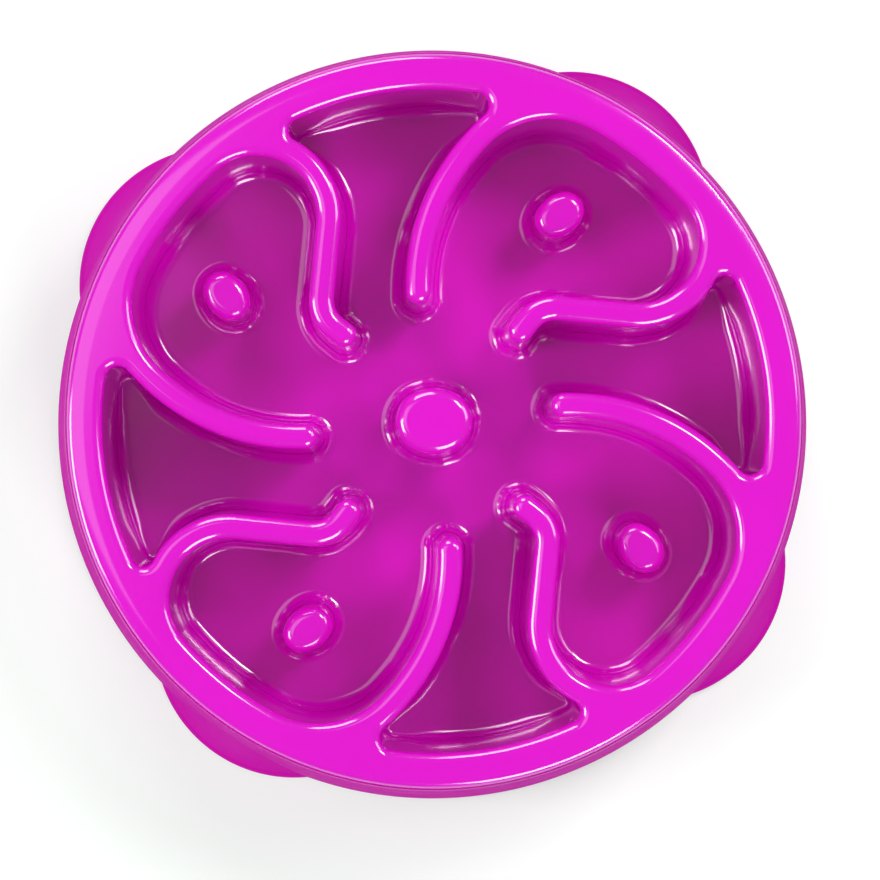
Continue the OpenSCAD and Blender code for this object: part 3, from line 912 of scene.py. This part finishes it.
print("corners left flat:", set_facing(tray_mesh))
tray = bpy.data.objects.new("tray", tray_mesh)
scene.collection.objects.link(tray)
tray_mesh.materials.clear()
tray_mesh.materials.append(gloss_plastic)
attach(tray, "root")
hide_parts("feeding_tray")

# %% [markdown]
# The base is a round pan whose wall flares out a little all the way down. Four feet swell out
# of it: each is a round, hollow-sided flare about its own upright axis, and where it meets the
# wall the two simply cross. That is how the real mould is cut, so the same is done here: the
# pan and one foot are turned sections, Geometry Nodes set the foot on four places round a
# circle and join everything by a union, and the hollow inside is cut out again.

# %% Section of the pan
OVERRUN = 1 * MM
BASE_R, BASE_TOP_R = 146 * MM, 137 * MM
BASE_WALL, LEDGE_R, BASE_EDGE_R = 2.5 * MM, 0.6 * MM, 2 * MM
LEDGE_STEPS, BASE_EDGE_STEPS = 6, 8
PAD_PROUD, FOOT_PROUD = tenth(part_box("base_pan")[0].z), 1 * MM
RING_HEIGHTS = [z * MM for z in range(55, 9, -9)]  # on the straight wall

pan_z = PAD_PROUD + FOOT_PROUD
base_lean = math.degrees(math.atan((BASE_R - BASE_TOP_R) / (SEAM_Z - pan_z)))


def base_at(z):
    """Radius of the outer face of the pan at a height."""
    return BASE_R - (z - pan_z) * math.tan(math.radians(base_lean))


ledge_z, low_z = SEAM_Z - LEDGE_R, pan_z + BASE_EDGE_R
slope = math.cos(math.radians(base_lean))
pan_section = (
    [(0, SEAM_Z)]
    + bend((base_at(ledge_z) - LEDGE_R / slope, ledge_z), LEDGE_R, 90, base_lean, LEDGE_STEPS)
    + [(base_at(z), z) for z in RING_HEIGHTS]
    + bend((base_at(low_z) - BASE_EDGE_R / slope, low_z), BASE_EDGE_R, base_lean, -90,
           BASE_EDGE_STEPS)
    + [(0, pan_z)]
)
hollow_top, hollow_z = SEAM_Z + OVERRUN, pan_z + BASE_WALL
hollow_section = [
    (0, hollow_top),
    (base_at(hollow_top) - BASE_WALL, hollow_top),
    (base_at(hollow_z) - BASE_WALL, hollow_z),
    (0, hollow_z),
]
print("the wall leans out", round(base_lean, 1), "degrees")

# %% Section of a foot
FOOT_R, FOOT_REACH, FOOT_EDGE = 54.3 * MM, 99.3 * MM, 3 * MM
FLARE_H, FLARE_SINK, FLARE_CLEAR = 32 * MM, 0.2 * MM, 0.2 * MM
FLARE_STEPS, FOOT_EDGE_STEPS, INNER_STEPS = 28, 12, 16

edge_r, foot_floor = FOOT_EDGE / 2, PAD_PROUD + BASE_WALL
flare_from = np.array((FOOT_R - edge_r, PAD_PROUD + FOOT_EDGE))
flare_to = np.array((base_at(FLARE_H) - FOOT_REACH - FLARE_SINK, FLARE_H))
chord = flare_from - flare_to
flare_r = np.dot(chord, chord) / (2 * np.dot(heading(base_lean), chord))
flare_c = flare_to + flare_r * heading(base_lean)
flare_start, flare_end = dir_of(flare_to - flare_c), dir_of(flare_from - flare_c)
if flare_end < flare_start:
    flare_end += 360
foot_section = (
    [(0, FLARE_H)]
    + bend(flare_c, flare_r, flare_start, flare_end, FLARE_STEPS)
    + bend((FOOT_R - edge_r, PAD_PROUD + edge_r), edge_r, 90, -90, FOOT_EDGE_STEPS)[1:]
    + [(0, PAD_PROUD)]
)
inner_flare = bend(flare_c, flare_r + BASE_WALL, flare_start, flare_end, INNER_STEPS)[1:]
inner_flare = [p for p in inner_flare if p[1] > foot_floor and p[0] < FOOT_R - 2 * FOOT_EDGE]
foot_hollow = (
    [(0, FLARE_H + OVERRUN), (flare_to[0] - BASE_WALL - FLARE_CLEAR, FLARE_H + OVERRUN)]
    + inner_flare
    + [(inner_flare[-1][0], foot_floor), (0, foot_floor)]
)
print("flare radius", round(flare_r / MM, 1), "mm")

# %% Turned solids of the base
pad_low, pad_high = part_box("foot_pad_back_right")
pad_middle = (pad_low + pad_high) / 2
PAD_T, PAD_R = tenth(pad_high.z), tenth((pad_high.x - pad_low.x) / 2)
PAD_REACH = tenth(pad_middle.xy.length)
FOOT_DIR = round(dir_of(pad_middle), 1)
PAD_FIT, SEAT_FROM = 0.15 * MM, 0.5 * MM
PAN_RINGS, FOOT_RINGS, PAD_RINGS = 384, 240, 96


def turned_mesh(name, section, steps=RINGS, centre=(0.0, 0.0)):
    """A section turned into a closed mesh whose faces point outward."""
    points, faces = turn_section(section, steps, centre)
    mesh = bpy.data.meshes.new(name)
    mesh.from_pydata(points, [], faces)
    shape = bmesh.new()
    shape.from_mesh(mesh)
    bmesh.ops.recalc_face_normals(shape, faces=shape.faces)
    shape.to_mesh(mesh)
    shape.free()
    return mesh


seat_r = PAD_R + PAD_FIT
boss_r, boss_z = seat_r + BASE_WALL, PAD_PROUD + BASE_WALL / 2
seat_boss = [(0, PAD_T + BASE_WALL), (boss_r, PAD_T + BASE_WALL), (boss_r, boss_z), (0, boss_z)]
seat = [(0, PAD_T), (seat_r, PAD_T), (seat_r, SEAT_FROM), (0, SEAT_FROM)]
sections = {
    "Pan": (pan_section, PAN_RINGS),
    "Hollow": (hollow_section, RINGS),
    "Foot": (foot_section, FOOT_RINGS),
    "Foot hollow": (foot_hollow, PAD_RINGS),
    "Seat boss": (seat_boss, PAD_RINGS),
    "Seat": (seat, PAD_RINGS),
}
solids = {name: bpy.data.objects.new(name, turned_mesh(name, section, steps))
          for name, (section, steps) in sections.items()}
print("pads of radius", round(PAD_R / MM, 1), "mm at", round(PAD_REACH / MM, 1), "mm and",
      FOOT_DIR, "degrees")

# %% The tree that sets the feet round the pan
base_tree = new_tree("footed_pan", [(name, "Object") for name in solids] + [
    ("Feet", "Int"), ("Foot direction", "Float"), ("Foot reach", "Float"),
    ("Seat reach", "Float"), ("Material", "Material")])
base_given = base_tree.nodes.new("NodeGroupInput").outputs


def solid(name):
    """One of the turned solids."""
    return put(base_tree, "GeometryNodeObjectInfo", {"Object": base_given[name]},
               transform_space="ORIGINAL").outputs["Geometry"]


def round_about(geometry, reach):
    """Copies of a solid at equal steps round a circle."""
    spots = put(base_tree, "GeometryNodeMeshCircle",
                {"Vertices": base_given["Feet"], "Radius": reach}).outputs[0]
    turn = put(base_tree, "ShaderNodeCombineXYZ", {"Z": base_given["Foot direction"]}).outputs[0]
    spots = put(base_tree, "GeometryNodeTransform",
                {"Geometry": spots, "Rotation": turn}).outputs[0]
    copies = put(base_tree, "GeometryNodeInstanceOnPoints",
                 {"Points": spots, "Instance": geometry}).outputs[0]
    return put(base_tree, "GeometryNodeRealizeInstances", {"Geometry": copies}).outputs[0]


def combined(operation, first, second):
    """The union of two solids, or the first without the second."""
    node = put(base_tree, "GeometryNodeMeshBoolean", operation=operation, solver="EXACT")
    first_socket = "Mesh 1" if operation == "DIFFERENCE" else "Mesh 2"
    base_tree.links.new(first, node.inputs[first_socket])
    base_tree.links.new(second, node.inputs["Mesh 2"])
    return node.outputs["Mesh"]


foot_reach, seat_reach = base_given["Foot reach"], base_given["Seat reach"]
base_shape = combined("UNION", solid("Pan"), round_about(solid("Foot"), foot_reach))
base_shape = combined("DIFFERENCE", base_shape, solid("Hollow"))
base_shape = combined("DIFFERENCE", base_shape, round_about(solid("Foot hollow"), foot_reach))
base_shape = combined("UNION", base_shape, round_about(solid("Seat boss"), seat_reach))
base_shape = combined("DIFFERENCE", base_shape, round_about(solid("Seat"), seat_reach))
end_tree(base_tree, base_shape, base_given["Material"])

base_mesh = run_tree(base_tree, "base", bpy.data.meshes.new("base_seed"), solids | {
    "Feet": TURNS, "Foot direction": math.radians(FOOT_DIR), "Foot reach": FOOT_REACH,
    "Seat reach": PAD_REACH, "Material": satin_plastic})
print("base:", len(base_mesh.polygons), "faces, open edges:", open_edges(base_mesh))

# %% [markdown]
# On the base the direction of each point follows from its faces. The creases stay sharp, and a
# Weighted Normal modifier lets the large flat faces win over the small ones of the roundings.

# %% Shading of the base
SHARP_DEGREES, FACE_WEIGHT = 28, 50


def weighted(name, mesh):
    """An object with smooth shading, sharp creases and normals weighted by face area."""
    mesh.shade_smooth()
    mesh.set_sharp_from_angle(angle=math.radians(SHARP_DEGREES))
    piece = bpy.data.objects.new(name, mesh)
    scene.collection.objects.link(piece)
    modifier = piece.modifiers.new("weighted", "WEIGHTED_NORMAL")
    modifier.keep_sharp = True
    modifier.weight = FACE_WEIGHT
    shaded = plain_mesh(piece, name)
    piece.modifiers.clear()
    piece.data = shaded
    return piece


base = weighted("base", base_mesh)
base.data.materials.clear()
base.data.materials.append(satin_plastic)
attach(base, "root")
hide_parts("base_pan")
print("the base has", len(base.data.vertices), "points")

# %% [markdown]
# Four rubber pads are pressed into seats under the feet. Rubber is nearly black, dull, and has
# a fine dusty grain, so it gets a rough surface with a soft sheen and a small bump. A pad is
# plain and round, so a short turned section is enough for its shape.

# %% Rubber
RUBBER_IOR, RUBBER_SHEEN = 1.52, 0.15
RUBBER_DARK, RUBBER_DUSTY = (0.028, 0.028, 0.03, 1), (0.045, 0.045, 0.048, 1)
DUST_SCALE, DUST_RANGE, RUBBER_ROUGHNESS = 120.0, (0.3, 0.7), (0.62, 0.8)
RUBBER_GRAIN_SCALE, RUBBER_GRAIN_DEPTH, RUBBER_GRAIN_STRENGTH = 2500.0, 0.02 * MM, 0.7

rubber, tree, shader = new_material("rubber")
shader.inputs["IOR"].default_value = RUBBER_IOR
shader.inputs["Sheen Weight"].default_value = RUBBER_SHEEN
dust = noise(tree, DUST_SCALE, 4.0)
dusty = mixed(tree, dust, RUBBER_DARK, RUBBER_DUSTY)
tree.links.new(dusty, shader.inputs["Base Color"])
rough = ramp(tree, dust, *DUST_RANGE, *RUBBER_ROUGHNESS)
tree.links.new(rough, shader.inputs["Roughness"])
grain = bump(tree, noise(tree, RUBBER_GRAIN_SCALE, 2.0), RUBBER_GRAIN_DEPTH, RUBBER_GRAIN_STRENGTH)
tree.links.new(grain.outputs[0], shader.inputs["Normal"])
print("rubber has", len(tree.nodes), "nodes")

# %% Pads
PAD_EDGE_R, PAD_BEVEL, PAD_EDGE_STEPS = 0.6 * MM, 0.2 * MM, 6
pad_section = (
    [(0, PAD_T), (PAD_R - PAD_BEVEL, PAD_T), (PAD_R, PAD_T - PAD_BEVEL)]
    + bend((PAD_R - PAD_EDGE_R, PAD_EDGE_R), PAD_EDGE_R, 0, -90, PAD_EDGE_STEPS)
    + [(0, 0)]
)
for k, name in enumerate(("back_right", "back_left", "front_left", "front_right")):
    spot = tuple(PAD_REACH * heading(FOOT_DIR + 90 * k))
    pad = weighted("pad_" + name, turned_mesh("pad_" + name, pad_section, PAD_RINGS, spot))
    pad.data.materials.append(rubber)
    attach(pad, "root")
    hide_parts("foot_pad_" + name)
    print("pad", name, "open edges:", open_edges(pad.data))
